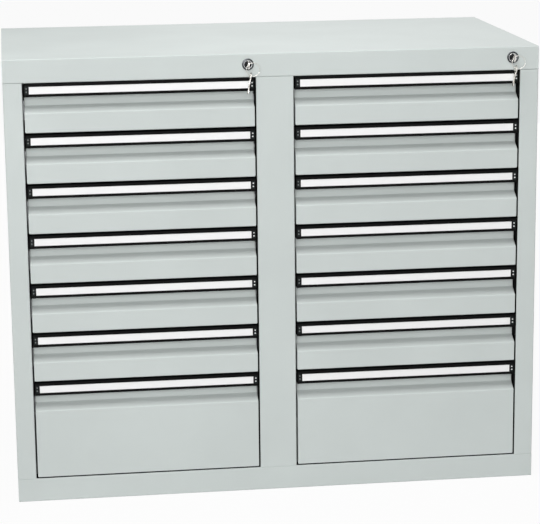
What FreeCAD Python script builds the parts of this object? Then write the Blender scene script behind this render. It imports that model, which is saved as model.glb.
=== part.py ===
import FreeCAD, Part
import os

import Sketcher

# Reagent drawer cabinet: two columns of drawers in one folded-steel carcass.
# Millimetres, +Z up. The front faces -Y and the origin is on the floor, under the
# middle of the whole cabinet with the keys that stand out of its locks.

os.makedirs("parts", exist_ok=True)
doc = FreeCAD.newDocument("reagent_drawer_cabinet")
sheet = doc.addObject("Spreadsheet::Sheet", "Sizes")


class Size:
    """A length that knows both its number and the sheet formula behind it."""

    def __init__(self, value, text):
        self.value = value
        self.text = text

    @staticmethod
    def of(other):
        """Return other as a Size, so that plain numbers mix with cells."""
        return other if isinstance(other, Size) else Size(float(other), "(%r)" % float(other))

    def _join(self, other, sign, value):
        return Size(value, "(%s %s %s)" % (self.text, sign, Size.of(other).text))

    def __add__(self, other):
        return self._join(other, "+", self.value + Size.of(other).value)

    def __sub__(self, other):
        return self._join(other, "-", self.value - Size.of(other).value)

    def __mul__(self, other):
        return self._join(other, "*", self.value * Size.of(other).value)

    def __truediv__(self, other):
        return self._join(other, "/", self.value / Size.of(other).value)

    def __neg__(self):
        return ZERO - self

    def __radd__(self, other):
        return Size.of(other) + self

    def __rsub__(self, other):
        return Size.of(other) - self

    def __rmul__(self, other):
        return Size.of(other) * self


ZERO = Size.of(0)


def cell(alias, value, note):
    """Put one driving dimension in the sheet and return it as a Size."""
    cell.row += 1
    sheet.set("A%d" % cell.row, note)
    sheet.set("B%d" % cell.row, str(value))
    sheet.setAlias("B%d" % cell.row, alias)
    return Size(float(value), "Sizes.%s" % alias)


cell.row = 0

# Carcass.
width = cell("width", 1000, "overall width")
depth = cell("depth", 540, "carcass depth without keys")
height = cell("height", 845, "overall height")
stile = cell("stile", 35, "outer stile width")
centre_stile = cell("centre_stile", 70, "stile between the columns")
stile_depth = cell("stile_depth", 34, "depth of the folded stiles")
plinth = cell("plinth", 45, "front height below the lowest drawer")
pitch = cell("pitch", 94.5, "height of one drawer unit")
steel = cell("steel", 1.2, "carcass sheet thickness")
stile_lip = cell("stile_lip", 25, "inner lip of the folded stiles")
bend = cell("bend", 2, "outside radius of the visible carcass bends")
hem = cell("hem", 30, "folded-in flanges of top and base")
back_flange = cell("back_flange", 20, "flanges that hold the back panel")
# Drawers.
front_gap = cell("front_gap", 3, "gap beside a front; half of it is left above")
front_depth = cell("front_depth", 30, "depth of the folded drawer front")
front_sheet = cell("front_sheet", 1, "drawer sheet thickness")
front_low = cell("front_low", 2.5, "gap below a drawer front")
front_round = cell("front_round", 1.5, "edge radius of the drawer front")
corner_round = cell("corner_round", 2.25, "radius of the front's lower corners")
recess_depth = cell("recess_depth", 20, "how far the finger recess is set back")
recess_drop = cell("recess_drop", 42, "front top to the start of the slope")
slope_drop = cell("slope_drop", 12, "height of the slope under the recess")
crease_round = cell("crease_round", 1.5, "radius of the bend above the slope")
slope_round = cell("slope_round", 2.5, "radius of the bend below the slope")
grip_height = cell("grip_height", 24, "height of the plastic grip rail")
grip_wall = cell("grip_wall", 2.3, "wall of the grip rail")
grip_lip = cell("grip_lip", 5, "lips above and below the label")
grip_cap = cell("grip_cap", 9, "end caps of the grip rail")
label_depth = cell("label_depth", 1.2, "how deep the label channel is")
tray_length = cell("tray_length", 450, "drawer tray length")
tray_floor = cell("tray_floor", 5, "tray floor above its unit")
tray_top = cell("tray_top", 62, "tray rim above its unit")
rim_height = cell("rim_height", 5, "hemmed rim of the tray")
rim_width = cell("rim_width", 2.5, "thickness of the hemmed rim")
# Slides.
slide_width = cell("slide_width", 13, "room for a slide beside the tray")
slide_height = cell("slide_height", 36, "height of the fixed slide rail")
slide_level = cell("slide_level", 40, "slide centre above its drawer unit")
slide_start = cell("slide_start", 36, "slide end behind the front plane")
slide_length = cell("slide_length", 450, "length of each slide rail")
fixed_reach = cell("fixed_reach", 8.45, "flange width of the fixed rails")
rail_reach = cell("rail_reach", 9.1, "flange width of the travelling rails")
slide_play = cell("slide_play", 0.3, "gap between nested rail flanges")
rail_sheet = cell("rail_sheet", 1.2, "slide rail thickness")
upright_depth = cell("upright_depth", 40, "depth of an upright channel")
upright_step = cell("upright_step", 404, "front upright to rear upright")
# Locks.
lock_offset = cell("lock_offset", 200, "lock to the middle of its column")
lock_drop = cell("lock_drop", 20, "lock below the top")
lock_flange = cell("lock_flange", 11, "radius of the lock's outer ring")
lock_proud = cell("lock_proud", 2.5, "how far that ring stands out")
lock_barrel = cell("lock_barrel", 9, "radius of the lock housing")
lock_length = cell("lock_length", 28, "length of the lock housing")
lock_nut = cell("lock_nut", 12, "radius of the nut behind the front")
nut_tall = cell("nut_tall", 3.6, "thickness of that nut")
plug_radius = cell("plug_radius", 7, "radius of the turning plug")
plug_inset = cell("plug_inset", 0.2, "plug face behind the outer ring's face")
running_play = cell("running_play", 0.05, "radial clearance of turning pins")
rod_radius = cell("rod_radius", 3, "radius of the rod to the rear")
hanger_half = cell("hanger_half", 9, "half the width of a rod hanger")
hanger_setback = cell("hanger_setback", 490, "rod hanger behind the front plane")
crank_throw = cell("crank_throw", 12, "crank pin to the lock's axis")
crank_pin = cell("crank_pin", 2, "radius of the crank pin")
crank_sheet = cell("crank_sheet", 4, "thickness of the crank disc")
crank_gap = cell("crank_gap", 1, "gap between crank disc and lock bar")
pin_stand = cell("pin_stand", 2, "crank pin beyond the lock bar")
bar_setback = cell("bar_setback", 505, "lock bar behind the front plane")
bar_width = cell("bar_width", 20, "width of the lock bar")
bar_sheet = cell("bar_sheet", 3, "thickness of the lock bar")
bar_end = cell("bar_end", 7, "bar beyond its lowest hook and its crank pin")
guide_cheek = cell("guide_cheek", 4, "thickness of a bar guide's cheeks")
guide_tall = cell("guide_tall", 20, "height of a bar guide")
guide_drop = cell("guide_drop", 12, "upper bar guide below the seventh unit")
hook_reach = cell("hook_reach", 45, "hook length from the bar forward")
hook_drop = cell("hook_drop", 20, "length of the finger of a hook")
hook_clear = cell("hook_clear", 3, "raised hook above the tray rim")
# Keys.
key_bow = cell("key_bow", 8, "radius of a key's head")
key_front = cell("key_front", 20, "key head's far edge before the front")
key_sheet = cell("key_sheet", 2, "key thickness")
key_blade = cell("key_blade", 6, "height of the key's blade")
key_reach = cell("key_reach", 20, "blade length beyond the head")
key_hole = cell("key_hole", 3.2, "radius of the hole in the middle of the head")
keyway_play = cell("keyway_play", 0.3, "gap around the blade in the plug")
ring_radius = cell("ring_radius", 12, "middle radius of the key ring")
ring_wire = cell("ring_wire", 0.8, "radius of the ring's wire")
pin_play = cell("pin_play", 0.45, "gap between crank pin and slot")
doc.recompute()

DRAWERS = 7
SHALLOW = 6
COLUMNS = {"left": -1, "right": 1}
DIAGONAL = 0.5 ** 0.5

opening = (width - stile * 2 - centre_stile) / 2
column_x = (opening + centre_stile) / 2
opening_top = plinth + pitch * (SHALLOW + 2)
front_y = -(depth + key_front) / 2 + key_front
half_width = width / 2
inner_half = half_width - steel
tray_half = opening / 2 - slide_width
front_half = opening / 2 - front_gap
lock_z = height - lock_drop
key_middle = key_bow - key_front
slack = Size.of(1)


def body(name):
    """Start one sub-part; its label is the name of its file."""
    part = doc.addObject("PartDesign::Body", name)
    part.Label = name
    part.AllowCompound = True
    return part


def place(part, x=ZERO, y=ZERO, z=ZERO):
    """Bind a sub-part's place to the sheet."""
    for axis, value in zip("xyz", (x, y, z)):
        part.setExpression("Placement.Base.%s" % axis, Size.of(value).text)


def origin(part, role):
    """Find one of the planes or axes of a body's own origin."""
    return [item for item in part.Origin.OriginFeatures if item.Role == role][0]


def block(part, kind, x, y, z):
    """Add (kind Additive) or cut (Subtractive) a box given by its three spans."""
    box = part.newObject("PartDesign::%sBox" % kind, part.Name + "_block")
    spans = [(Size.of(low), Size.of(high)) for low, high in (x, y, z)]
    for size, axis, (low, high) in zip(("Length", "Width", "Height"), "xyz", spans):
        box.setExpression(size, (high - low).text)
        box.setExpression("Placement.Base.%s" % axis, low.text)
    doc.recompute()
    return box


def rod(part, kind, radius, start, end, x=ZERO, z=ZERO):
    """Add or cut a round bar that runs along Y from start to end."""
    bar = part.newObject("PartDesign::%sCylinder" % kind, part.Name + "_rod")
    bar.Placement = FreeCAD.Placement(FreeCAD.Vector(), FreeCAD.Rotation(FreeCAD.Vector(1, 0, 0), 90))
    bar.setExpression("Radius", Size.of(radius).text)
    bar.setExpression("Height", (Size.of(end) - start).text)
    bar.setExpression("Placement.Base.x", Size.of(x).text)
    bar.setExpression("Placement.Base.y", Size.of(end).text)
    bar.setExpression("Placement.Base.z", Size.of(z).text)
    doc.recompute()
    return bar


def outline(part, role, points, offset=ZERO):
    """Sketch a closed outline whose corners are all driven by the sheet."""
    sketch = part.newObject("Sketcher::SketchObject", part.Name + "_section")
    sketch.AttachmentSupport = (origin(part, role), [""])
    sketch.MapMode = "FlatFace"
    sketch.setExpression("AttachmentOffset.Base.z", Size.of(offset).text)
    corners = [(Size.of(a), Size.of(b)) for a, b in points]
    vectors = [FreeCAD.Vector(a.value, b.value, 0) for a, b in corners]
    count = len(corners)
    for index in range(count):
        sketch.addGeometry(Part.LineSegment(vectors[index], vectors[(index + 1) % count]), False)
    for index in range(count):
        sketch.addConstraint(Sketcher.Constraint("Coincident", index, 2, (index + 1) % count, 1))
    for index, corner in enumerate(corners):
        for kind, size in zip(("DistanceX", "DistanceY"), corner):
            if size.value == 0:
                rule = "PointOnObject"
                axis = -2 if kind == "DistanceX" else -1
                sketch.addConstraint(Sketcher.Constraint(rule, index, 1, axis))
                continue
            number = sketch.addConstraint(Sketcher.Constraint(kind, -1, 1, index, 1, size.value))
            sketch.setExpression("Constraints[%d]" % number, size.text)
    doc.recompute()
    return sketch


def pad(part, sketch, length, both_ways=False, back=False):
    """Extrude a sketch, to both sides of its plane if both_ways."""
    feature = part.newObject("PartDesign::Pad", part.Name + "_pad")
    feature.Profile = sketch
    feature.setExpression("Length", Size.of(length).text)
    feature.Midplane = both_ways
    feature.Reversed = back
    doc.recompute()
    return feature


def folded(path, thickness, side):
    """Outline of a sheet folded along a square-cornered path; side is +1 for its left."""
    points = [(Size.of(a), Size.of(b)) for a, b in path]
    normals = []
    for (ax, ay), (bx, by) in zip(points, points[1:]):
        dx, dy = bx.value - ax.value, by.value - ay.value
        length = (dx * dx + dy * dy) ** 0.5
        normals.append((-dy / length * side, dx / length * side))
    inner = []
    for index, (px, py) in enumerate(points):
        near = normals[max(index - 1, 0):index + 1]
        shift_x = round(sum(normal[0] for normal in near))
        shift_y = round(sum(normal[1] for normal in near))
        inner.append((px + thickness * shift_x, py + thickness * shift_y))
    return points + inner[::-1]


def long_edges(shape, axis, spots):
    """Names of the edges along an axis that pass through any of the given spots."""
    others = [item for item in "xyz" if item != axis]
    names = []
    for number, edge in enumerate(shape.Edges, 1):
        if len(edge.Vertexes) < 2:
            continue
        start, end = edge.Vertexes[0].Point, edge.Vertexes[-1].Point
        if any(abs(getattr(start, item) - getattr(end, item)) > 0.01 for item in others):
            continue
        for spot in spots:
            sizes = [Size.of(size).value for size in spot]
            if all(abs(getattr(start, item) - size) < 0.01 for item, size in zip(others, sizes)):
                names.append("Edge%d" % number)
                break
    return names


def rounded(part, names, radius):
    """Fillet the named edges of the body's last feature."""
    base = part.Tip
    feature = part.newObject("PartDesign::Fillet", part.Name + "_round")
    feature.Base = (base, names)
    feature.setExpression("Radius", Size.of(radius).text)
    doc.recompute()
    return feature


def whole(part, kind, **settings):
    """Repeat the whole body so far with a pattern or mirror feature."""
    feature = part.newObject("PartDesign::%s" % kind, part.Name + "_repeat")
    feature.TransformMode = "Whole shape"
    for name, value in settings.items():
        if isinstance(value, Size):
            feature.setExpression(name, value.text)
        else:
            setattr(feature, name, value)
    part.Tip = feature
    doc.recompute()
    return feature


def side_panel(name, sign):
    """Outer side with its folded front stile, back flange and floor flange."""
    part = body(name)
    path = [(stile - stile_lip, stile_depth), (stile, stile_depth), (stile, ZERO), (ZERO, ZERO),
            (ZERO, depth), (back_flange, depth)]
    points = folded(path, steel, -1)
    if sign > 0:
        points = [(-across, along) for across, along in points]
    pad(part, outline(part, "XY_Plane", points), height - steel)
    rounded(part, long_edges(part.Shape, "z", [(ZERO, ZERO), (-sign * stile, ZERO)]), bend)
    for low, high in ((-slack, plinth), (opening_top, height)):
        cuts = [((-slack, stile + slack), (-slack, steel)),
                ((steel, stile + slack), (-slack, stile_depth + slack))]
        for across, along in cuts:
            block(part, "Subtractive", facing(across, sign), along, (low, high))
    across = (steel, back_flange + slack)
    block(part, "Subtractive", facing(across, sign), (depth - steel, depth + slack),
          (height - back_flange - slack, height))
    block(part, "Additive", facing((steel, hem), sign), (hem + steel * 2, depth - hem), (ZERO, steel))
    place(part, half_width * sign, front_y)
    return part


def facing(span, sign):
    """Turn a span measured inward from an outer side into X for that side."""
    low, high = (Size.of(item) for item in span)
    return (-high, -low) if sign > 0 else (low, high)


def trim_ends(part, low, high):
    """Cut both ends back so that the side panels pass outside the flanges."""
    for across in ((-half_width - slack, -inner_half), (inner_half, half_width + slack)):
        block(part, "Subtractive", across, (steel, depth + slack), (low, high))


def top_panel():
    """Top with its deep front fascia, the lock holes and the two rod hangers."""
    part = body("top_panel")
    reach = hem + steel
    path = [(reach, opening_top), (ZERO, opening_top), (ZERO, height), (depth, height),
            (depth, height - back_flange)]
    pad(part, outline(part, "YZ_Plane", folded(path, steel, -1)), width, both_ways=True)
    rounded(part, long_edges(part.Shape, "x", [(ZERO, height), (ZERO, opening_top)]), bend)
    trim_ends(part, opening_top - slack, height - steel)
    end = hanger_setback + steel * 2
    for sign in COLUMNS.values():
        lock_x = column_x * sign + lock_offset
        rod(part, "Subtractive", lock_barrel, -slack, steel + slack, lock_x, lock_z)
        block(part, "Additive", (lock_x - hanger_half, lock_x + hanger_half), (hanger_setback, end),
              (lock_z - hanger_half, height - steel))
        rod(part, "Subtractive", rod_radius + running_play, hanger_setback - slack, end + slack,
            lock_x, lock_z)
    place(part, y=front_y)
    return part


def base_pan():
    """Plinth and cabinet floor in one folded sheet, with a channel below its middle."""
    part = body("base_pan")
    reach = hem + steel
    path = [(reach, ZERO), (ZERO, ZERO), (ZERO, plinth), (depth - steel * 2, plinth)]
    pad(part, outline(part, "YZ_Plane", folded(path, steel, -1)), width, both_ways=True)
    rounded(part, long_edges(part.Shape, "x", [(ZERO, ZERO), (ZERO, plinth)]), bend)
    trim_ends(part, -slack, plinth + slack)
    along = (reach + steel, depth - steel * 2)
    block(part, "Additive", (-hem, hem), along, (ZERO, steel))
    for across in ((-hem, steel - hem), (hem - steel, hem)):
        block(part, "Additive", across, along, (ZERO, plinth - steel))
    place(part, y=front_y)
    return part


def back_panel():
    """Back sheet with the slotted guides that keep both lock bars upright."""
    part = body("back_panel")
    face = depth - steel * 2
    block(part, "Additive", (-inner_half, inner_half), (face, face + steel), (ZERO, height - steel))
    half = bar_width / 2 + slide_play
    outer = half + guide_cheek
    start = bar_setback - guide_cheek / 2
    for sign in COLUMNS.values():
        bar_x = column_x * sign + lock_offset - bar_width / 2
        for level in (plinth + pitch * 3, plinth + pitch * 7 - guide_drop):
            tall = (level, level + guide_tall)
            block(part, "Additive", (bar_x - outer, bar_x + outer), (start, face), tall)
            block(part, "Subtractive", (bar_x - half, bar_x + half),
                  (start - slack, bar_setback + bar_sheet + slide_play), tall)
    place(part, y=front_y)
    return part


def centre_partition():
    """Double wall between the columns with the wide folded stile in front of it."""
    part = body("centre_partition")
    half = centre_stile / 2
    for sign in (1, -1):
        path = [(steel * sign, stile_depth), (half * sign, stile_depth), (half * sign, ZERO), (ZERO, ZERO)]
        pad(part, outline(part, "XY_Plane", folded(path, steel, -sign), plinth), opening_top - plinth)
    rounded(part, long_edges(part.Shape, "z", [(half, ZERO), (-half, ZERO)]), bend)
    block(part, "Additive", (-steel, steel), (hem + steel, depth - steel * 2), (plinth, height - steel))
    place(part, y=front_y)
    return part


def nested_rail(reach_in, reach_out, half_tall):
    """Channel section between two distances from the column's middle, web outward."""
    return [(reach_in, half_tall), (reach_out, half_tall), (reach_out, -half_tall), (reach_in, -half_tall),
            (reach_in, rail_sheet - half_tall), (reach_out - rail_sheet, rail_sheet - half_tall),
            (reach_out - rail_sheet, half_tall - rail_sheet), (reach_in, half_tall - rail_sheet)]


def slide_frames():
    """Upright channels with the fixed rails on them, at both sides of both columns."""
    part = body("slide_frames")
    half = opening / 2
    path = [(half + stile - steel, slide_start), (half, slide_start),
            (half, slide_start + upright_depth), (half + stile - steel, slide_start + upright_depth)]
    column_right = [(column_x + across, along) for across, along in folded(path, steel, -1)]
    pad(part, outline(part, "XY_Plane", column_right, plinth), height - steel - plinth)
    axis = (origin(part, "Y_Axis"), [""])
    whole(part, "LinearPattern", Direction=axis, Occurrences=2, Length=upright_step)
    section = nested_rail(half - fixed_reach, half, slide_height / 2)
    for row in range(DRAWERS):
        level = plinth + pitch * (row + 1) + slide_level
        points = [(column_x + across, level + up) for across, up in section]
        pad(part, outline(part, "XZ_Plane", points, -slide_start), slide_length, back=True)
    # The other sides are mirror images about the column's and the cabinet's middle.
    across = origin(part, "YZ_Plane")
    spare = part.newObject("PartDesign::Plane", "column_middle")
    spare.AttachmentSupport = (across, [""])
    spare.MapMode = "FlatFace"
    spare.setExpression("AttachmentOffset.Base.z", column_x.text)
    doc.recompute()
    whole(part, "Mirrored", MirrorPlane=(spare, [""]))
    whole(part, "Mirrored", MirrorPlane=(across, [""]))
    place(part, y=front_y)
    return part


def middle_rail(name, sign, level):
    """The two travelling rails between the fixed rails and those of one drawer."""
    part = body(name)
    outer = opening / 2 - rail_sheet - slide_play * 2
    section = nested_rail(outer - rail_reach, outer, slide_height / 2 - rail_sheet - slide_play)
    pad(part, outline(part, "XZ_Plane", section), slide_length, back=True)
    whole(part, "Mirrored", MirrorPlane=(origin(part, "YZ_Plane"), [""]))
    place(part, column_x * sign, front_y + slide_start, level + slide_level)
    return part


def drawer(name, sign, base, tall):
    """Folded front with its finger recess, hemmed tray and the two inner slide rails."""
    part = body(name)
    top = tall - front_gap / 2 - grip_wall
    low = front_low
    slope_top = tall - front_gap / 2 - recess_drop
    slope_low = slope_top - slope_drop
    section = [(recess_depth, top), (recess_depth, slope_top), (ZERO, slope_low), (ZERO, low),
               (front_depth, low), (front_depth, top)]
    pad(part, outline(part, "YZ_Plane", section), front_half * 2, both_ways=True)
    rounded(part, long_edges(part.Shape, "x", [(recess_depth, slope_top)]), crease_round)
    rounded(part, long_edges(part.Shape, "x", [(ZERO, slope_low)]), slope_round)
    ends = long_edges(part.Shape, "y", [(front_half, low), (-front_half, low)])
    rounded(part, ends, corner_round)
    front_edges = []
    for number, edge in enumerate(part.Shape.Edges, 1):
        box = edge.BoundBox
        across = abs(abs(box.Center.x) - front_half.value) < front_round.value * 2
        if box.YMax < recess_depth.value + 0.01 and box.ZMin < top.value - 0.01:
            if (box.XLength < front_round.value * 2 and across) or abs(box.Center.z - low.value) < 0.01:
                front_edges.append("Edge%d" % number)
    rounded(part, front_edges, front_round)
    open_faces = []
    for number, face in enumerate(part.Shape.Faces, 1):
        if face.BoundBox.YMin > front_depth.value - 0.01 or face.BoundBox.ZMin > top.value - 0.01:
            open_faces.append("Face%d" % number)
    shell = part.newObject("PartDesign::Thickness", name + "_shell")
    shell.Base = (part.Group[-2], open_faces)
    shell.setExpression("Value", front_sheet.text)
    shell.Reversed = True
    part.Tip = shell
    doc.recompute()
    start = recess_depth + front_sheet
    rim = tall - pitch + tray_top
    end = start + tray_length
    block(part, "Additive", (-tray_half, tray_half), (start, end), (tray_floor, rim))
    inner = tray_half - front_sheet
    block(part, "Subtractive", (-inner, inner), (start + front_sheet, end - front_sheet),
          (tray_floor + front_sheet, rim - rim_height))
    inner = tray_half - rim_width
    block(part, "Subtractive", (-inner, inner), (start + rim_width, end - rim_width),
          (rim - rim_height - slack, rim + slack))
    rail_start = front_depth + front_sheet
    middle = tall - pitch + slide_level
    half_tall = slide_height / 2 - rail_sheet * 2 - slide_play * 2
    for side in (1, -1):
        along = (rail_start, end)
        tall = (middle - half_tall, middle + half_tall)
        block(part, "Additive", span(tray_half, rail_sheet, side), along, tall)
        for flange in (middle - half_tall, middle + half_tall - rail_sheet):
            block(part, "Additive", span(tray_half, rail_reach, side), along, (flange, flange + rail_sheet))
    place(part, column_x * sign, front_y, base)
    return part


def span(start, length, side):
    """A span of X that begins at start and grows outward on the given side."""
    near, far = start * side, (start + length) * side
    return (near, far) if side > 0 else (far, near)


def grip(name, sign, base, tall):
    """Extruded plastic grip rail with a label channel and solid end caps."""
    part = body(name)
    top = tall - front_gap / 2
    low = top - grip_height
    front = grip_wall + label_depth
    section = [(ZERO, top), (recess_depth, top), (recess_depth, top - grip_lip * 2),
               (recess_depth - grip_wall, top - grip_lip * 2), (recess_depth - grip_wall, top - grip_wall),
               (front, top - grip_wall), (front, low), (ZERO, low), (ZERO, low + grip_lip),
               (label_depth, low + grip_lip), (label_depth, top - grip_lip), (ZERO, top - grip_lip)]
    pad(part, outline(part, "YZ_Plane", section), (front_half - grip_cap) * 2, both_ways=True)
    spots = [(ZERO, top), (front, low), (ZERO, low)]
    rounded(part, long_edges(part.Shape, "x", spots), front_sheet)
    for side in (1, -1):
        across = span(front_half - grip_cap, grip_cap, side)
        block(part, "Additive", across, (ZERO, recess_depth), (low, top))
    place(part, column_x * sign, front_y, base)
    return part


def lock_housings():
    """Chromed housings of both locks with their rings in front and nuts behind."""
    part = body("lock_housings")
    for sign in COLUMNS.values():
        lock_x = column_x * sign + lock_offset
        rod(part, "Additive", lock_barrel, ZERO, lock_length, lock_x, lock_z)
        rod(part, "Additive", lock_flange, -lock_proud, ZERO, lock_x, lock_z)
        rod(part, "Additive", lock_nut, steel, steel + nut_tall, lock_x, lock_z)
        rod(part, "Subtractive", plug_radius + running_play, -lock_proud - slack,
            lock_length + slack, lock_x, lock_z)
    place(part, y=front_y)
    return part


def lock_plug(name, sign):
    """Turning plug with its keyway, and the rod and crank that work the lock bar."""
    part = body(name)
    face = plug_inset - lock_proud
    crank = bar_setback - crank_sheet - crank_gap
    rod(part, "Additive", plug_radius, face, lock_length)
    rod(part, "Additive", rod_radius, lock_length, crank)
    rod(part, "Additive", crank_throw + crank_pin * 2, crank, crank + crank_sheet)
    side = crank_throw * DIAGONAL
    rod(part, "Additive", crank_pin, crank + crank_sheet, bar_setback + bar_sheet + pin_stand, -side, side)
    half = key_sheet / 2 + keyway_play
    tall = key_blade / 2 + keyway_play
    block(part, "Subtractive", (-half, half), (face - slack, key_reach + slack), (-tall, tall))
    place(part, column_x * sign + lock_offset, front_y, lock_z)
    return part


def key(name, sign):
    """Flat key in the lock: round holed head toward the user, blade in the keyway."""
    part = body(name)
    rod_across(part, "Additive", key_bow, key_middle)
    half = key_blade / 2
    block(part, "Additive", (-key_sheet / 2, key_sheet / 2), (key_middle, key_reach), (-half, half))
    rod_across(part, "Subtractive", key_hole, key_middle)
    place(part, column_x * sign + lock_offset, front_y, lock_z)
    return part


def rod_across(part, kind, radius, along):
    """Add or cut a round plate of key thickness whose axis runs along X."""
    disc = part.newObject("PartDesign::%sCylinder" % kind, part.Name + "_disc")
    turn = FreeCAD.Rotation(FreeCAD.Vector(0, 1, 0), 90)
    disc.Placement = FreeCAD.Placement(FreeCAD.Vector(), turn)
    reach = key_sheet / 2 if kind == "Additive" else key_sheet
    disc.setExpression("Radius", radius.text)
    disc.setExpression("Height", (reach * 2).text)
    disc.setExpression("Placement.Base.x", (-reach).text)
    disc.setExpression("Placement.Base.y", Size.of(along).text)
    doc.recompute()


def key_ring(name, sign):
    """Wire ring through the key's hole, hanging to the lower right so that the key can turn in it."""
    part = body(name)
    ring = part.newObject("PartDesign::AdditiveTorus", name + "_wire")
    ring.Placement = FreeCAD.Placement(FreeCAD.Vector(), FreeCAD.Rotation(FreeCAD.Vector(1, 0, 0), 90))
    ring.setExpression("Radius1", ring_radius.text)
    ring.setExpression("Radius2", ring_wire.text)
    doc.recompute()
    shift = ring_radius * DIAGONAL
    place(part, column_x * sign + lock_offset + shift, front_y + key_middle, lock_z - shift)
    return part


def lock_bar(name, sign):
    """Flat bar behind the drawers with one hook over the rear rim of each tray."""
    part = body(name)
    half = bar_width / 2
    side = crank_throw * DIAGONAL
    pin_z = lock_z + side
    rim = plinth + pitch + tray_top + hook_clear
    block(part, "Additive", (-half, half), (ZERO, bar_sheet), (rim - bar_end, pin_z + bar_end))
    across = (bar_sheet - half, half - bar_sheet)
    block(part, "Additive", across, (-hook_reach, ZERO), (rim + hook_drop, rim + hook_drop + bar_sheet))
    block(part, "Additive", across, (-hook_reach, bar_sheet - hook_reach), (rim, rim + hook_drop))
    hooks = part.Group[-2:]
    pattern = part.newObject("PartDesign::LinearPattern", name + "_hooks")
    pattern.Originals = hooks
    pattern.Direction = (origin(part, "Z_Axis"), [""])
    pattern.setExpression("Length", (pitch * (DRAWERS - 1)).text)
    pattern.Occurrences = DRAWERS
    part.Tip = pattern
    doc.recompute()
    near = half - crank_throw - crank_pin - pin_play
    far = half - side + crank_pin + pin_play
    tall = crank_pin + pin_play
    block(part, "Subtractive", (near, far), (-slack, bar_sheet + slack), (pin_z - tall, pin_z + tall))
    place(part, column_x * sign + lock_offset - half, front_y + bar_setback)
    return part


parts = [top_panel(), base_pan(), back_panel(), centre_partition(), slide_frames(), lock_housings()]
for column, sign in COLUMNS.items():
    parts.append(side_panel("side_panel_" + column, sign))
    parts.append(lock_plug("lock_plug_" + column, sign))
    parts.append(key("key_" + column, sign))
    parts.append(key_ring("key_ring_" + column, sign))
    parts.append(lock_bar("lock_bar_" + column, sign))
    for row in range(DRAWERS):
        deep = row == DRAWERS - 1
        tall = pitch * 2 if deep else pitch
        base = plinth if deep else plinth + pitch * (SHALLOW + 1 - row)
        number = "%s_%d" % (column, row + 1)
        parts.append(drawer("drawer_" + number, sign, base, tall))
        parts.append(grip("grip_" + number, sign, base, tall))
        parts.append(middle_rail("middle_rail_" + number, sign, base + tall - pitch))
doc.recompute()

for item in doc.Objects:
    if "Invalid" in item.State or "Error" in item.State:
        raise RuntimeError("%s did not build: %s" % (item.Name, item.State))
for part in parts:
    if part.Shape.isNull() or not part.Shape.isValid():
        raise RuntimeError("%s has no valid shape" % part.Label)
for part in parts:
    part.Shape.exportStep("parts/%s.step" % part.Label)
    box = part.Shape.BoundBox
    print("%-20s %2d solids %8.0f mm3  x %7.1f %7.1f  y %7.1f %7.1f  z %7.1f %7.1f" % (
        part.Label, len(part.Shape.Solids), part.Shape.Volume,
        box.XMin, box.XMax, box.YMin, box.YMax, box.ZMin, box.ZMax))
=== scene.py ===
"""Dressed model of a laboratory drawer cabinet: painted steel, grip rails, slides and keyed locks."""

import logging
import math
from dataclasses import dataclass, field
from enum import Enum

import bpy
from mathutils import Matrix, Vector


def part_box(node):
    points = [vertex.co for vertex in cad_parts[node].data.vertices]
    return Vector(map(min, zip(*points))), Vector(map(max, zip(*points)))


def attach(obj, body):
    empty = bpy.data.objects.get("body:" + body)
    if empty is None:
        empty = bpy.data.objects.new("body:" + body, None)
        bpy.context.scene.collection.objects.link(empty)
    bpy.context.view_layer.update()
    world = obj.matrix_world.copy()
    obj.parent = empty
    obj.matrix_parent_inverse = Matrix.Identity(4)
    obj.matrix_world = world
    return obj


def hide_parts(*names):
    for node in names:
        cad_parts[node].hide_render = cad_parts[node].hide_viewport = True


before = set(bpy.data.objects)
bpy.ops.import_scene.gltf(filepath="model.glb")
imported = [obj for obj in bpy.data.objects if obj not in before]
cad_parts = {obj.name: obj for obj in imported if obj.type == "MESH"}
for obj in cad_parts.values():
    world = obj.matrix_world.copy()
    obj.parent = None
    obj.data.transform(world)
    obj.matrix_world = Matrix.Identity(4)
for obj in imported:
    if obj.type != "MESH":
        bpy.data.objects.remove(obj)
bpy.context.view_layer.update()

LOG = logging.getLogger("drawer_cabinet")
MM = 0.001
ROWS = 7
SIDES = ("left", "right")
FRONT = Vector((0, -1, 0))
WHITE = (1, 1, 1, 1)
# Cosine from which a face counts as looking one way.
FACING = 0.99
# Edges sharper than this many degrees stay hard, on modelled pieces and on construction nodes.
CREASE = 35.0
CAD_CREASE = 30.0
# Sides of a round piece a few millimetres across.
SMALL_SIDES = 20
# A cutter reaches PAST times as far as the edge that it cuts off, and a drill is THROUGH times as
# long as what it goes through.
PAST = 2
THROUGH = 3

Pair = tuple[float, float]
Triple = tuple[float, float, float]


class Axis(Enum):
    """The direction that a round piece lies along, with the turn that lays it there."""

    ACROSS = (0, math.pi / 2, 0)
    DEEP = (math.pi / 2, 0, 0)


class Merge(Enum):
    """How one piece is merged with another, with Blender's name for it."""

    ADD = "UNION"
    CUT = "DIFFERENCE"


class Glow(Enum):
    """The shader that shows plain white, with Blender's name for it."""

    SKY = "ShaderNodeBackground"
    SURFACE = "ShaderNodeEmission"


# ---------------------------------------------------------------- finishes


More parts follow.
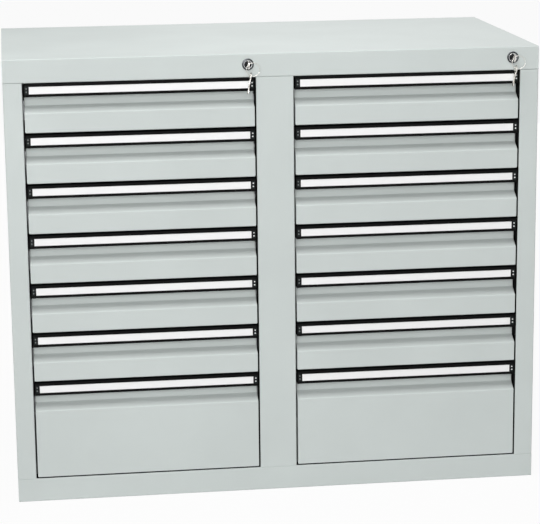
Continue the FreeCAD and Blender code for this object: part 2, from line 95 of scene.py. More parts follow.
class NodeBook:
    """A material under construction and the shorthands that fill its node tree."""

    def __init__(self, name: str) -> None:
        """Start an empty node material with a Principled shader.

        Args:
            name: The material's name.
        """
        self.material = bpy.data.materials.new(name)
        self.material.use_nodes = True
        self.tree = self.material.node_tree
        self.tree.nodes.clear()
        self.output = self.tree.nodes.new("ShaderNodeOutputMaterial")
        self.shader = self.tree.nodes.new("ShaderNodeBsdfPrincipled")
        self.join(self.shader, "BSDF", self.output, "Surface")
        self.place = self.tree.nodes.new("ShaderNodeTexCoord")

    def join(self, source: bpy.types.Node, out: str, target: bpy.types.Node, into: str) -> None:
        """Link one socket to another, both named."""
        self.tree.links.new(source.outputs[out], target.inputs[into])

    def constants(self, **values: float) -> None:
        """Set the shader's own sockets; an underscore in a name stands for a space."""
        for name, value in values.items():
            self.shader.inputs[name.replace("_", " ")].default_value = value

    def stretched(self, scale: Triple) -> bpy.types.Node:
        """Map the object's own coordinates with a scale for each axis.

        Args:
            scale: The scale of each axis.

        Returns:
            The mapping node.
        """
        mapping = self.tree.nodes.new("ShaderNodeMapping")
        mapping.inputs["Scale"].default_value = scale
        self.join(self.place, "Object", mapping, "Vector")
        return mapping

    def noise(self, scale: float, detail: float, stretch: Triple = (1, 1, 1)) -> bpy.types.Node:
        """Add a noise texture.

        Args:
            scale: Features in each metre.
            detail: Octaves of finer noise.
            stretch: Scale of each axis before the noise.

        Returns:
            The noise node.
        """
        node = self.tree.nodes.new("ShaderNodeTexNoise")
        node.inputs["Scale"].default_value = scale
        node.inputs["Detail"].default_value = detail
        self.join(self.stretched(stretch), "Vector", node, "Vector")
        return node

    def ramp(self, source: bpy.types.Node, low: Triple, high: Triple,
             span: Pair = (0.35, 0.65)) -> bpy.types.Node:
        """Turn a noise into a blend of two colours.

        Args:
            source: The noise node.
            low: Colour where the noise is dark.
            high: Colour where it is light.
            span: The noise's values at which the two colours are reached.

        Returns:
            The colour ramp node.
        """
        node = self.tree.nodes.new("ShaderNodeValToRGB")
        first, last = node.color_ramp.elements
        first.position, last.position = span
        first.color = (*low, 1.0)
        last.color = (*high, 1.0)
        self.join(source, "Fac", node, "Fac")
        return node

    def bump(self, source: bpy.types.Node, strength: float, depth: float) -> None:
        """Raise the surface by a noise.

        Args:
            source: The noise node.
            strength: Share of the bump that shows, from 0 to 1.
            depth: Height of the bump in metres.
        """
        node = self.tree.nodes.new("ShaderNodeBump")
        node.inputs["Strength"].default_value = strength
        node.inputs["Distance"].default_value = depth
        self.join(source, "Fac", node, "Height")
        self.join(node, "Normal", self.shader, "Normal")


def tinted(color: Triple, factor: float) -> Triple:
    """Return a colour made lighter or darker by a factor."""
    return tuple(min(1.0, channel * factor) for channel in color)


@dataclass(frozen=True)
class Finish:
    """A surface finish: a cloudy colour under a fine grain that moves its gloss and its bump."""

    name: str
    color: Triple
    roughness: float
    metallic: float = 0.0
    mottle: float = 0.02
    mottle_scale: float = 6.0
    mottle_detail: float = 3.0
    grain_scale: float = 900.0
    grain_detail: float = 2.0
    grain_depth: float = 0.00003
    grain_strength: float = 0.35
    grain_stretch: Triple = (1, 1, 1)
    shine: Pair = (0.9, 1.1)
    coat: float = 0.0
    coat_roughness: float = 0.12
    specular: float = 0.5
    slot: str = "painted_steel"

    def build(self) -> bpy.types.Material:
        """Make the material the first time and return the same one after that.

        Returns:
            This finish as a Blender material.
        """
        known = bpy.data.materials.get(self.name)
        if known:
            return known
        book = NodeBook(self.name)
        cloud = book.noise(self.mottle_scale, self.mottle_detail)
        shades = book.ramp(cloud, tinted(self.color, 1 - self.mottle), tinted(self.color, 1 + self.mottle))
        book.join(shades, "Color", book.shader, "Base Color")
        grain = book.noise(self.grain_scale, self.grain_detail, self.grain_stretch)
        gloss = book.tree.nodes.new("ShaderNodeMapRange")
        gloss.inputs["To Min"].default_value = self.roughness * self.shine[0]
        gloss.inputs["To Max"].default_value = self.roughness * self.shine[1]
        book.join(grain, "Fac", gloss, "Value")
        book.join(gloss, "Result", book.shader, "Roughness")
        book.bump(grain, self.grain_strength, self.grain_depth)
        book.constants(Metallic=self.metallic, Coat_Weight=self.coat, Coat_Roughness=self.coat_roughness,
                       Specular_IOR_Level=self.specular)
        return book.material


PAINT = Finish("powder_coat_light_grey", (0.575, 0.621, 0.607), roughness=0.66, grain_scale=700.0,
               grain_depth=0.00004, specular=0.30)
ZINC = Finish("zinc_plated_sheet", (0.60, 0.62, 0.64), roughness=0.33, metallic=1.0, mottle=0.10,
              mottle_scale=55.0, grain_scale=260.0, grain_depth=0.00002, grain_stretch=(1, 0.06, 1),
              shine=(0.8, 1.35), slot="zinc_steel")
PLASTIC = Finish("black_extruded_plastic", (0.004, 0.0043, 0.0043), roughness=0.58, mottle=0.12,
                 mottle_scale=30.0, grain_scale=1500.0, grain_depth=0.00002, grain_stretch=(0.05, 1, 1),
                 specular=0.05, slot="black_plastic")
CAP = Finish("dark_grey_cap", (0.013, 0.016, 0.016), roughness=0.55, mottle=0.10, mottle_scale=60.0,
             grain_scale=1800.0, grain_depth=0.00004, specular=0.08, slot="black_plastic")
# Cap pins in a lit and an unlit copy of one finish: the pale copy paints a glint on the right caps, and the
# grey copy leaves the left caps' pins unlit.
CAP_PIN_PAINTED_GLINT = Finish("cap_pin_painted_glint", (0.78, 0.80, 0.80), roughness=0.42, mottle=0.03, mottle_scale=90.0,
             grain_scale=1800.0, grain_depth=0.00001, slot="black_plastic")
CAP_PIN_UNLIT = Finish("cap_pin_unlit_grey", (0.16, 0.17, 0.17), roughness=0.45, mottle=0.05, mottle_scale=90.0,
                 grain_scale=1800.0, grain_depth=0.00001, slot="black_plastic")
# Painted shade: a black sheet set in the gaps round the drawer fronts, where the cabinet itself only has
# shadow.
GAP_SHADE_BLACK = Finish("painted_gap_shade_black", (0.006, 0.006, 0.006), roughness=0.75, mottle=0.10, mottle_scale=45.0,
                grain_scale=1300.0, grain_depth=0.00005, specular=0.05, slot="black_plastic")
PAPER = Finish("white_label_strip", (0.87, 0.87, 0.87), roughness=0.55, mottle=0.006, mottle_scale=40.0,
               grain_scale=2500.0, grain_depth=0.00001, coat=0.5, slot="black_plastic")
# One chrome in two painted copies: dark for reflected shade on the housing, bright for a reflected highlight
# on the dish floor.
CHROME_PAINTED_DARK = Finish("chrome_painted_dark_reflection", (0.06, 0.064, 0.068), roughness=0.16, metallic=1.0, mottle=0.04,
                mottle_scale=40.0, grain_scale=1200.0, grain_depth=0.000004, shine=(0.7, 1.6),
                slot="lock_chrome")
CHROME_PAINTED_BRIGHT = Finish("chrome_painted_bright_reflection", (0.62, 0.63, 0.64), roughness=0.12, metallic=1.0, mottle=0.02,
                mottle_scale=40.0, grain_scale=1200.0, grain_depth=0.000004, shine=(0.7, 1.6),
                slot="lock_chrome")
PLUG = Finish("dark_lock_plug", (0.014, 0.015, 0.016), roughness=0.20, metallic=0.9, mottle=0.10,
              mottle_scale=80.0, grain_scale=1500.0, grain_depth=0.00001, slot="lock_chrome")
NICKEL = Finish("nickel_key", (0.72, 0.70, 0.66), roughness=0.22, metallic=1.0, mottle=0.05,
                mottle_scale=90.0, grain_scale=1600.0, grain_depth=0.00001, grain_stretch=(1, 0.15, 1),
                shine=(0.7, 1.5), slot="key_steel")
SCREW = Finish("zinc_screw", (0.58, 0.60, 0.61), roughness=0.30, metallic=1.0, mottle=0.06,
               mottle_scale=120.0, grain_scale=1500.0, grain_depth=0.00001, slot="zinc_steel")


# ---------------------------------------------------------------- modelling helpers


def deselected() -> None:
    """Deselect everything, so that the next operator acts on its own piece only."""
    bpy.ops.object.select_all(action="DESELECT")


def alone(item: bpy.types.Object) -> bpy.types.Object:
    """Make an object the only selected and active one.

    Args:
        item: The object.

    Returns:
        The same object.
    """
    deselected()
    item.select_set(True)
    bpy.context.view_layer.objects.active = item
    return item


def settled(item: bpy.types.Object) -> bpy.types.Object:
    """Move an object's place, turn and scale into its mesh.

    Args:
        item: The object.

    Returns:
        The same object.
    """
    alone(item)
    bpy.ops.object.transform_apply(location=True, rotation=True, scale=True)
    return item


def finished(item: bpy.types.Object, kind: str, **settings: object) -> bpy.types.Object:
    """Add a modifier of a kind, set it and apply it.

    Args:
        item: The piece.
        kind: Blender's name of the modifier's type.
        settings: The modifier's own values.

    Returns:
        The same piece.
    """
    alone(item)
    modifier = item.modifiers.new(kind.lower(), kind)
    for name, value in settings.items():
        setattr(modifier, name, value)
    bpy.ops.object.modifier_apply(modifier=modifier.name)
    return item


def eased(item: bpy.types.Object, width: float, segments: int = 2, degrees: float = 30.0) -> bpy.types.Object:
    """Round the edges of a piece.

    Args:
        item: The piece.
        width: Width of the rounding in metres.
        segments: Faces across the rounding.
        degrees: Edges flatter than this angle are left alone.

    Returns:
        The same piece.
    """
    return finished(item, "BEVEL", width=width, segments=segments, limit_method="ANGLE",
                    angle_limit=math.radians(degrees))


def merged(item: bpy.types.Object, other: bpy.types.Object, how: Merge) -> bpy.types.Object:
    """Join or cut one piece with another and remove the other.

    Args:
        item: The piece that stays.
        other: The piece that is used up.
        how: Whether the other is added or cut away.

    Returns:
        The piece that stays.
    """
    finished(item, "BOOLEAN", operation=how.value, object=other, solver="EXACT")
    bpy.data.objects.remove(other, do_unlink=True)
    return item


def slab(name: str, low: Vector, high: Vector) -> bpy.types.Object:
    """Add a cube primitive that fills the box between two corners.

    Args:
        name: The piece's name.
        low: Lowest corner.
        high: Highest corner.

    Returns:
        The piece.
    """
    deselected()
    bpy.ops.mesh.primitive_cube_add(size=1, location=(low + high) / 2)
    item = bpy.context.active_object
    item.name = name
    item.scale = high - low
    return settled(item)


def round_bar(name: str, centre: Vector, radius: float, length: float, axis: Axis,
              sides: int) -> bpy.types.Object:
    """Add a cylinder primitive that lies along one direction.

    Args:
        name: The piece's name.
        centre: Its middle.
        radius: Its radius.
        length: Its length.
        axis: The direction that it lies along.
        sides: Faces round it.

    Returns:
        The piece.
    """
    deselected()
    bpy.ops.mesh.primitive_cylinder_add(vertices=sides, radius=radius, depth=length, location=centre,
                                        rotation=axis.value)
    item = bpy.context.active_object
    item.name = name
    return settled(item)


def stepped(item: bpy.types.Object, direction: Vector, rim: float, height: float) -> bpy.types.Object:
    """Inset the faces that look one way and raise or sink the part inside the rim.

    Args:
        item: The piece.
        direction: The way that the faces look.
        rim: Width of the rim that stays.
        height: How far the inner part moves along the direction, below 0 to sink it.

    Returns:
        The same piece.
    """
    alone(item)
    bpy.ops.object.mode_set(mode="EDIT")
    bpy.ops.mesh.select_mode(type="FACE")
    bpy.ops.mesh.select_all(action="DESELECT")
    bpy.ops.object.mode_set(mode="OBJECT")
    for polygon in item.data.polygons:
        polygon.select = polygon.normal.dot(direction) > FACING
    bpy.ops.object.mode_set(mode="EDIT")
    bpy.ops.mesh.inset(thickness=rim)
    bpy.ops.mesh.extrude_region_move(TRANSFORM_OT_translate={"value": direction * height})
    bpy.ops.object.mode_set(mode="OBJECT")
    return item


def gathered(name: str, items: list[bpy.types.Object]) -> bpy.types.Object:
    """Join several pieces into one object, each keeping its material.

    Args:
        name: Name of the joined object.
        items: The pieces.

    Returns:
        The joined object.
    """
    deselected()
    for item in items:
        item.select_set(True)
    bpy.context.view_layer.objects.active = items[0]
    bpy.ops.object.join()
    joined = bpy.context.active_object
    joined.name = name
    return joined


def copied(item: bpy.types.Object, name: str, shift: Vector) -> bpy.types.Object:
    """Copy a piece and its mesh.

    Args:
        item: The piece.
        name: The copy's name.
        shift: How far the copy is moved.

    Returns:
        The copy.
    """
    twin = item.copy()
    twin.data = item.data.copy()
    twin.name = name
    twin.data.transform(Matrix.Translation(shift))
    bpy.context.scene.collection.objects.link(twin)
    return twin


def smooth(item: bpy.types.Object, degrees: float = CREASE) -> bpy.types.Object:
    """Shade a piece smooth except at its sharp edges.

    Args:
        item: The piece.
        degrees: Edges sharper than this angle stay hard.

    Returns:
        The same piece.
    """
    alone(item)
    bpy.ops.object.shade_smooth_by_angle(angle=math.radians(degrees))
    return item


def dressed(item: bpy.types.Object, finish: Finish) -> bpy.types.Object:
    """Give a piece one finish all over.

    Args:
        item: The piece.
        finish: Its finish.

    Returns:
        The same piece.
    """
    item.data.materials.clear()
    item.data.materials.append(finish.build())
    return item


def seated(item: bpy.types.Object, body: str) -> None:
    """Let a finished piece ride on a body and report it.

    Args:
        item: The piece.
        body: The body that carries it.
    """
    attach(item, body)
    LOG.info("%s rides on %s", item.name, body)


def cad_finish(node: str, finish: Finish) -> None:
    """Dress a construction node that keeps its own shape, and report it.

    Args:
        node: The node's name.
        finish: Its finish.
    """
    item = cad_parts[node]
    smooth(item, CAD_CREASE)
    dressed(item, finish)
    LOG.info("%s is %s", node, finish.name)


# ---------------------------------------------------------------- sub-assemblies


@dataclass
class Carcass:
    """Folded sheet housing with its slide frames, back screws and black sheets in the opening's gaps that
    paint the shade there.

    The fields that end in share are parts of a size: the black gap sheet's round share of that sheet's
    thickness, head_round_share and cross_depth_share of the screw head's height, and the other two of its
    radius.
    """

    bend: float = 2.5 * MM
    # Thickness, depth and rounding of the black sheets that paint the gaps' shade.
    shade_sheet: float = 0.8 * MM
    shade_sheet_deep: float = 26 * MM
    shade_sheet_round_share: float = 0.3
    screw_radius: float = 3.4 * MM
    screw_height: float = 1.2 * MM
    screw_sink: float = 0.1 * MM
    screw_inset: float = 32 * MM
    screw_foot: float = 64 * MM
    screws_across: int = 8
    screws_up: int = 6
    head_round_share: float = 0.35
    cross_depth_share: float = 0.6
    cross_reach_share: float = 0.6
    cross_width_share: float = 0.14
    painted: tuple[str, ...] = ("top_panel", "base_pan", "back_panel", "centre_partition",
                                "side_panel_left", "side_panel_right")

    def build(self) -> None:
        """Dress the fixed sheets and frames, then add the back screws and the black sheets that paint the
        gaps' shade.
        """
        for node in self.painted:
            cad_finish(node, PAINT)
        cad_finish("slide_frames", ZINC)
        self.back_screws()
        for side in SIDES:
            self.opening_shade_sheet(side)

    def opening_shade_sheet(self, side: str) -> None:
        """Line one column's opening with black sheets at both sides and along the plinth: painted shade that
        makes the gaps round the drawer fronts read dark.

        Args:
            side: The column, left or right.
        """
        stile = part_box("side_panel_" + side)
        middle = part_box("centre_partition")
        near = stile[0].y + self.bend
        far = near + self.shade_sheet_deep
        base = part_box("base_pan")[1].z
        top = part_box("top_panel")[0].z - self.shade_sheet
        if side == "left":
            left, right = stile[1].x, middle[0].x
        else:
            left, right = middle[1].x, stile[0].x
        inner_left, inner_right = left + self.shade_sheet, right - self.shade_sheet
        strips = [
            slab("shade_sheet_left", Vector((left, near, base)), Vector((inner_left, far, top))),
            slab("shade_sheet_right", Vector((inner_right, near, base)), Vector((right, far, top))),
            slab("shade_sheet_low", Vector((inner_left, near, base)), Vector((inner_right, far, base + self.shade_sheet))),
        ]
        for strip in strips:
            eased(strip, self.shade_sheet * self.shade_sheet_round_share)
            dressed(smooth(strip), GAP_SHADE_BLACK)
        seated(gathered("opening_shade_sheet_" + side, strips), "carcass")

    def back_screws(self) -> None:
        """Set flat screws along the back panel's edges and down its middle."""
        low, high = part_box("back_panel")
        left, right = low.x + self.screw_inset, high.x - self.screw_inset
        bottom, top = low.z + self.screw_foot, high.z - self.screw_inset
        upright = [(x, bottom + (top - bottom) * step / self.screws_up)
                   for x in (left, (left + right) / 2, right)
                   for step in range(self.screws_up + 1)]
        level = [(left + (right - left) * step / self.screws_across, z)
                 for z in (bottom, top)
                 for step in range(1, self.screws_across)
                 if step * 2 != self.screws_across]
        (first_x, first_z), *others = upright + level
        first = self.screw(Vector((first_x, high.y, first_z)))
        twins = [copied(first, "back_screw_%d" % number, Vector((x - first_x, 0, z - first_z)))
                 for number, (x, z) in enumerate(others)]
        seated(gathered("back_screws", [first, *twins]), "carcass")

    def screw(self, spot: Vector) -> bpy.types.Object:
        """Model one flat screw head with a cross recess.

        Args:
            spot: Where the screw's axis meets the back panel's outer face.

        Returns:
            The head, its foot just inside the sheet.
        """
        face = spot.y + self.screw_height - self.screw_sink
        middle = Vector((spot.x, face - self.screw_height / 2, spot.z))
        head = round_bar("screw_head", middle, self.screw_radius, self.screw_height, Axis.DEEP, SMALL_SIDES)
        eased(head, self.screw_height * self.head_round_share)
        floor = face - self.screw_height * self.cross_depth_share
        past = face + self.screw_height
        reach = self.screw_radius * self.cross_reach_share
        slot = self.screw_radius * self.cross_width_share
        for wide, tall in ((reach, slot), (slot, reach)):
            cutter = slab("screw_cross", Vector((spot.x - wide, floor, spot.z - tall)),
                          Vector((spot.x + wide, past, spot.z + tall)))
            merged(head, cutter, Merge.CUT)
        return dressed(smooth(head), SCREW)


@dataclass
class GripRail:
    """Label strip and end-cap inlays of one drawer's grip rail.

    The inlay ends lip_share of the lip below the rail's top. pin_places are shares of its height,
    and pin_round_share is part of how far it stands proud.
    """

    lip: float = 5 * MM
    cap: float = 9 * MM
    channel: float = 1.2 * MM
    strip: float = 0.7 * MM
    ease: float = 0.25 * MM
    strip_rim: float = 0.5 * MM
    strip_raise: float = 0.12 * MM
    strip_round: float = 0.08 * MM
    inlay_margin: float = 1.6 * MM
    inlay_proud: float = 0.35 * MM
    inlay_rim: float = 0.7 * MM
    inlay_sink: float = 0.25 * MM
    inlay_round: float = 0.15 * MM
    lip_share: float = 0.8
    pin_radius: float = 1.3 * MM
    pin_round_share: float = 0.6
    pin_places: Pair = (0.3, 0.7)

    def label(self, low: Vector, high: Vector) -> bpy.types.Object:
        """Model the white label strip that slides in the channel.

        Args:
            low: Lowest corner of the grip rail.
            high: Its highest corner.

        Returns:
            The strip, with a raised middle inside its pressed rim.
        """
        face = low.y + self.channel
        base = Vector((low.x + self.cap + self.ease, face - self.strip, low.z + self.lip + self.ease))
        far = Vector((high.x - self.cap - self.ease, face, high.z - self.lip - self.ease))
        item = slab("label", base, far)
        stepped(item, FRONT, self.strip_rim, self.strip_raise)
        eased(item, self.strip_round, segments=1)
        return dressed(smooth(item), PAPER)

    def caps(self, low: Vector, high: Vector) -> bpy.types.Object:
        """Model both end-cap inlays with their two pins each.

        Args:
            low: Lowest corner of the grip rail.
            high: Its highest corner.

        Returns:
            The inlays and pins as one piece; the pins are alike, but the left cap's are painted grey and
            unlit, and the right cap's pale as a painted glint.
        """
        items = []
        top = high.z - self.lip * self.lip_share
        # The right cap's pins get the pale copy, a painted glint; the left cap's pins get the grey, unlit
        # copy.
        for left, right, pin_light_copy in ((low.x, low.x + self.cap, CAP_PIN_UNLIT), (high.x - self.cap, high.x, CAP_PIN_PAINTED_GLINT)):
            base = Vector((left + self.inlay_margin, low.y - self.inlay_proud, low.z + self.lip))
            far = Vector((right - self.inlay_margin, low.y + self.inlay_proud, top))
            plate = slab("cap_plate", base, far)
            stepped(plate, FRONT, self.inlay_rim, -self.inlay_sink)
            eased(plate, self.inlay_round)
            items.append(dressed(smooth(plate), CAP))
            for place in self.pin_places:
                spot = Vector(((base.x + far.x) / 2, low.y, base.z + (far.z - base.z) * place))
                pin = round_bar("cap_pin", spot, self.pin_radius, self.inlay_proud * 2, Axis.DEEP,
                                SMALL_SIDES)
                eased(pin, self.inlay_proud * self.pin_round_share)
                items.append(dressed(smooth(pin), pin_light_copy))
        return gathered("caps", items)


@dataclass
class DrawerStack:
    """All drawers of both columns with their grips, labels and travelling rails."""

    grip: GripRail = field(default_factory=GripRail)

    def build(self) -> None:
        """Dress every drawer and copy the modelled trim to each grip rail."""
        low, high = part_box("grip_left_1")
        label, caps = self.grip.label(low, high), self.grip.caps(low, high)
        for side in SIDES:
            for row in range(1, ROWS + 1):
                number = "%s_%d" % (side, row)
                cad_finish("drawer_" + number, PAINT)
                cad_finish("grip_" + number, PLASTIC)
                cad_finish("middle_rail_" + number, ZINC)
                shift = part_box("grip_" + number)[0] - low
                seated(copied(label, "label_" + number, shift), "drawer_" + number)
                seated(copied(caps, "grip_caps_" + number, shift), "drawer_" + number)
        for master in (label, caps):
            bpy.data.objects.remove(master, do_unlink=True)


@dataclass
class CabinetLock:
    """One keyed lock with its housing, key, key ring and spare key.

    The fields that end in share are parts of a size: ring_round_share of how far the housing
    stands proud, barrel_share of its length, the dish's highlight share (a face this close to the
    dish's floor gets the painted bright reflection), blade_root_share and groove_start_share of the bow's
    radius, groove_floor_share and key_round_share of half the key's thickness, groove_tall_share of half
    the blade's height, tooth_wide_share of the tooth's pitch, tooth_depth_shares of the tooth,
    bite_share of half the ring's thickness, and touch_share of the wire's radius. key_edge and
    ring_crease are angles in degrees, lean and hang in radians.
    """

    side: str
    flange: float = 11 * MM
    barrel: float = 9 * MM
    bore: float = 7.05 * MM
    nut: float = 12 * MM
    nut_tall: float = 3.6 * MM
    rim: float = 2.2 * MM
    dish: float = 0.4 * MM
    ring_round_share: float = 0.35
    barrel_share: float = 0.98
    highlight_face_share: float = 0.1
    round_sides: int = 64
    nut_sides: int = 6
    hole: float = 3.2 * MM
    blade: float = 6 * MM
    blade_root_share: float = 0.6
    teeth: int = 6
    tooth: float = 1.3 * MM
    tooth_depth_shares: Triple = (0.6, 1.0, 0.8)
    first_tooth: float = 13 * MM
    tooth_pitch: float = 2.3 * MM
    tooth_wide_share: float = 0.55
    groove_start_share: float = 1.1
    groove_floor_share: float = 0.4
    groove_tall_share: float = 0.4
    key_round_share: float = 0.2
    key_edge: float = 50.0
    bow_sides: int = 56
    hole_sides: int = 36
    lean: float = math.radians(9)
    hang: float = math.radians(25)
    bite_share: float = 1.4
    touch_share: float = 0.98
    ring_sides: int = 72
    wire_sides: int = 12
    ring_crease: float = 60.0

    def build(self) -> None:
        """Model the shown lock parts and dress the hidden ones."""
        cad_finish("lock_plug_" + self.side, PLUG)
        cad_finish("lock_bar_" + self.side, ZINC)
        self.housing()
        self.keys()
        self.ring()

    def axis(self) -> Vector:
        """Return the point where the lock's axis meets the cabinet's front."""
        low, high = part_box("lock_plug_" + self.side)
        return Vector(((low.x + high.x) / 2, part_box("top_panel")[0].y, (low.z + high.z) / 2))

    def housing(self) -> None:
        """Model the chromed housing: dished outer ring, barrel and nut round the plug's bore, its chrome
        painted dark as a reflection of shade and its dish floor painted bright as a reflected highlight.
        """
        spot = self.axis()
        low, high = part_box("lock_housings")
        proud, length = spot.y - low.y, high.y - low.y
        ring = round_bar("lock_ring", spot + FRONT * (proud / 2), self.flange, proud, Axis.DEEP,
                         self.round_sides)
        eased(ring, proud * self.ring_round_share, segments=3)
        stepped(ring, FRONT, self.rim, -self.dish)
        deep = length * self.barrel_share
        middle = Vector((spot.x, high.y - deep / 2, spot.z))
        barrel = round_bar("lock_barrel", middle, self.barrel, deep, Axis.DEEP, self.round_sides)
        merged(ring, barrel, Merge.ADD)
        middle = spot + Vector((0, self.nut_tall, 0))
        nut = round_bar("lock_nut", middle, self.nut, self.nut_tall, Axis.DEEP, self.nut_sides)
        merged(ring, nut, Merge.ADD)
        drill = round_bar("lock_bore", spot, self.bore, length * THROUGH, Axis.DEEP, self.round_sides)
        merged(ring, drill, Merge.CUT)
        ring.name = "lock_housing_" + self.side
        dressed(smooth(ring), CHROME_PAINTED_DARK)
        # The dish floor gets the bright copy, a painted reflection; the rest of the housing keeps the dark
        # painted reflection.
        ring.data.materials.append(CHROME_PAINTED_BRIGHT.build())
        for polygon in ring.data.polygons:
            highlight_off_dish = abs(polygon.center.y - low.y - self.dish)
            if highlight_off_dish < self.highlight_face_share * self.dish and polygon.normal.dot(FRONT) > FACING:
                polygon.material_index = 1
        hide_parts("lock_housings")
        seated(ring, "carcass")

    def blank(self, name: str) -> bpy.types.Object:
        """Model a flat key whose bow is round the origin, its blade along +Y.

        Args:
            name: The key's name.

        Returns:
            The key, cut and grooved.
        """
        low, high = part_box("key_" + self.side)
        half, bow = (high.x - low.x) / 2, (high.z - low.z) / 2
        tall, reach = self.blade / 2, high.y - low.y - bow
        centre = Vector((0, 0, 0))
        head = round_bar(name, centre, bow, half * 2, Axis.ACROSS, self.bow_sides)
        blade = slab("key_blade", Vector((-half, bow * self.blade_root_share, -tall)),
                     Vector((half, reach, tall)))
        for index in range(self.teeth):
            along = self.first_tooth + index * self.tooth_pitch
            deep = self.tooth * self.tooth_depth_shares[index % len(self.tooth_depth_shares)]
            end = along + self.tooth_pitch * self.tooth_wide_share
            notch = slab("key_cut", Vector((-half * PAST, along, -tall * PAST)),
                         Vector((half * PAST, end, deep - tall)))
            merged(blade, notch, Merge.CUT)
        tip = slab("key_tip", Vector((-half * PAST, reach - self.tooth, -tall * PAST)),
                   Vector((half * PAST, reach * PAST, self.tooth - tall)))
        merged(blade, tip, Merge.CUT)
        groove = slab("key_groove",
                      Vector((half * self.groove_floor_share, bow * self.groove_start_share, 0)),
                      Vector((half * PAST, reach * PAST, tall * self.groove_tall_share)))
        merged(blade, groove, Merge.CUT)
        merged(head, blade, Merge.ADD)
        drill = round_bar("key_hole", centre, self.hole, half * 2 * THROUGH, Axis.ACROSS, self.hole_sides)
        merged(head, drill, Merge.CUT)
        eased(head, half * self.key_round_share, degrees=self.key_edge)
        return dressed(smooth(head), NICKEL)

    def keys(self) -> None:
        """Model the key in the lock and the spare key that hangs from the ring."""
        low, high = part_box("key_" + self.side)
        bow = (high.z - low.z) / 2
        centre = Vector(((low.x + high.x) / 2, low.y + bow, (low.z + high.z) / 2))
        key = self.blank("key_in_lock_" + self.side)
        key.data.transform(Matrix.Translation(centre))
        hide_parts("key_" + self.side)
        seated(key, "key_" + self.side)
        low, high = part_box("key_ring_" + self.side)
        thick = (high.y - low.y) / 2
        middle, reach = (low + high) / 2, (high.z - low.z) / 2 - thick
        down = Vector((-math.sin(self.lean), 0, -math.cos(self.lean)))
        spot = middle + reach * Vector((-math.sin(self.hang), 0, -math.cos(self.hang)))
        spot += down * (self.hole - thick * self.bite_share)
        spare = self.blank("spare_key_" + self.side)
        spare.data.transform(Matrix.Rotation(-math.pi / 2, 4, "X"))
        spare.data.transform(Matrix.Rotation(self.lean, 4, "Y"))
        spare.data.transform(Matrix.Translation(spot))
        seated(spare, "key_ring_" + self.side)

    def ring(self) -> None:
        """Model the split ring as two turns of wire that lie side by side."""
        low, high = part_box("key_ring_" + self.side)
        wire = (high.y - low.y) / 4
        major = (high.x - low.x) / 2 - wire
        turns = []
        for shift in (-wire, wire):
            deselected()
            bpy.ops.mesh.primitive_torus_add(
                location=(low + high) / 2 + Vector((0, shift * self.touch_share, 0)),
                rotation=(math.pi / 2, 0, 0), major_segments=self.ring_sides,
                minor_segments=self.wire_sides, major_radius=major, minor_radius=wire)
            turn = settled(bpy.context.active_object)
            turns.append(dressed(smooth(turn, self.ring_crease), NICKEL))
        ring = gathered("split_ring_" + self.side, turns)
        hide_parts("key_ring_" + self.side)
        seated(ring, "key_ring_" + self.side)


# ---------------------------------------------------------------- studio


@dataclass(frozen=True)
class Lamp:
    """A square soft lamp: its place and side in metres, its power in watts."""

    name: str
    spot: Triple
    size: float
    power: float

    def build(self, aim: Vector) -> None:
        """Add the lamp, turned towards a point.

        Args:
            aim: The point that it looks at.
        """
        light = bpy.data.lights.new(self.name, "AREA")
        light.size = self.size
        light.energy = self.power
        item = bpy.data.objects.new(self.name, light)
        spot = Vector(self.spot)
        item.location = spot
        item.rotation_euler = (aim - spot).to_track_quat("-Z", "Y").to_euler()
        bpy.context.scene.collection.objects.link(item)


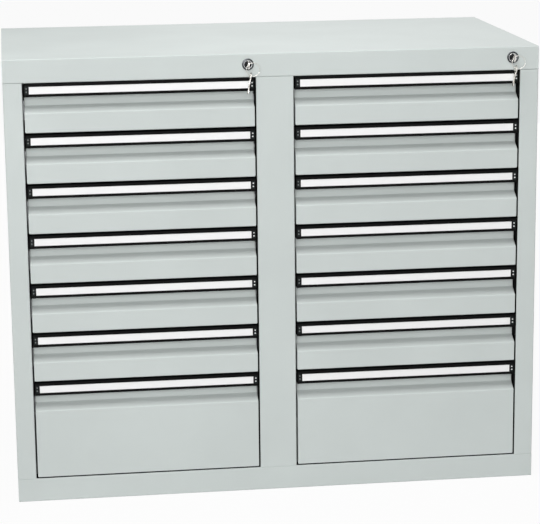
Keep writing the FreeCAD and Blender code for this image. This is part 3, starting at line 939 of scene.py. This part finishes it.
@dataclass
class Studio:
    """Pale floor, even sky, soft lamps and the camera; angles are in radians."""

    camera_spot: Triple = (-0.4864, -3.9869, 1.2972)
    camera_turn: float = 0.1264
    camera_tilt: float = 0.2218
    camera_roll: float = -0.0111
    lens: float = 136.1
    floor_span: float = 40.0
    floor_drop: float = 0.2 * MM
    floor_grey: float = 0.58
    floor_white: float = 0.95
    sky: float = 0.17
    sky_white: float = 1.0
    aim: Triple = (0, 0, 0.45)
    lamps: tuple[Lamp, ...] = (
        Lamp("top_lamp", (-0.5, -0.9, 3.4), size=2.2, power=69.0),
        Lamp("front_lamp", (-0.9, -4.6, 1.6), size=2.2, power=121.0),
        Lamp("back_lamp", (1.0, 4.2, 0.7), size=2.0, power=91.0),
    )

    def build(self) -> None:
        """Make the floor, the sky, the lamps and the camera."""
        self.floor()
        self.world()
        for lamp in self.lamps:
            lamp.build(Vector(self.aim))
        self.camera()
        bpy.context.scene.view_settings.view_transform = "Standard"

    def shown_white(self, tree: bpy.types.NodeTree, shader: bpy.types.Node, share: float,
                    glow: Glow) -> bpy.types.Node:
        """Blend a shader with plain white where the camera, a mirror or glass shows it.

        Args:
            tree: The node tree.
            shader: The shader that lights and takes shadows.
            share: How much white is blended in.
            glow: The kind of shader that makes the white.

        Returns:
            The mixed shader node.
        """
        path = tree.nodes.new("ShaderNodeLightPath")
        seen = path.outputs["Is Camera Ray"]
        for ray in ("Is Glossy Ray", "Is Transmission Ray"):
            either = tree.nodes.new("ShaderNodeMath")
            either.operation = "MAXIMUM"
            tree.links.new(seen, either.inputs[0])
            tree.links.new(path.outputs[ray], either.inputs[1])
            seen = either.outputs[0]
        scaled = tree.nodes.new("ShaderNodeMath")
        scaled.operation = "MULTIPLY"
        scaled.inputs[1].default_value = share
        tree.links.new(seen, scaled.inputs[0])
        white = tree.nodes.new(glow.value)
        white.inputs["Color"].default_value = WHITE
        mix = tree.nodes.new("ShaderNodeMixShader")
        tree.links.new(scaled.outputs[0], mix.inputs[0])
        tree.links.new(shader.outputs[0], mix.inputs[1])
        tree.links.new(white.outputs[0], mix.inputs[2])
        return mix

    def floor(self) -> None:
        """Lay a large pale plane that keeps the cabinet's shadow."""
        deselected()
        bpy.ops.mesh.primitive_plane_add(size=self.floor_span, location=(0, 0, -self.floor_drop))
        item = bpy.context.active_object
        item.name = "floor"
        material = bpy.data.materials.new("pale_floor")
        material.use_nodes = True
        tree = material.node_tree
        tree.nodes.clear()
        output = tree.nodes.new("ShaderNodeOutputMaterial")
        matt = tree.nodes.new("ShaderNodeBsdfDiffuse")
        matt.inputs["Color"].default_value = (self.floor_grey, self.floor_grey, self.floor_grey, 1)
        shown = self.shown_white(tree, matt, self.floor_white, Glow.SURFACE)
        tree.links.new(shown.outputs[0], output.inputs["Surface"])
        item.data.materials.append(material)

    def world(self) -> None:
        """Make an even sky that shows white behind the cabinet."""
        if bpy.context.scene.world is None:
            bpy.context.scene.world = bpy.data.worlds.new("sky")
        bpy.context.scene.world.use_nodes = True
        tree = bpy.context.scene.world.node_tree
        tree.nodes.clear()
        output = tree.nodes.new("ShaderNodeOutputWorld")
        sky = tree.nodes.new("ShaderNodeBackground")
        sky.inputs["Color"].default_value = WHITE
        sky.inputs["Strength"].default_value = self.sky
        shown = self.shown_white(tree, sky, self.sky_white, Glow.SKY)
        tree.links.new(shown.outputs[0], output.inputs["Surface"])

    def camera(self) -> None:
        """Set the camera in front, left of the middle and above the top."""
        lens = bpy.data.cameras.new("camera")
        lens.lens = self.lens
        item = bpy.data.objects.new("camera", lens)
        item.location = self.camera_spot
        turn = Matrix.Rotation(-self.camera_turn, 4, "Z")
        tilt = Matrix.Rotation(math.pi / 2 - self.camera_tilt, 4, "X")
        roll = Matrix.Rotation(self.camera_roll, 4, "Z")
        item.rotation_euler = (turn @ tilt @ roll).to_euler()
        bpy.context.scene.collection.objects.link(item)
        bpy.context.scene.camera = item


def main() -> None:
    """Build every sub-assembly in order."""
    logging.basicConfig(level=logging.INFO, format="%(message)s")
    Carcass().build()
    DrawerStack().build()
    for side in SIDES:
        CabinetLock(side).build()
    Studio().build()


if __name__ == "__main__":
    main()
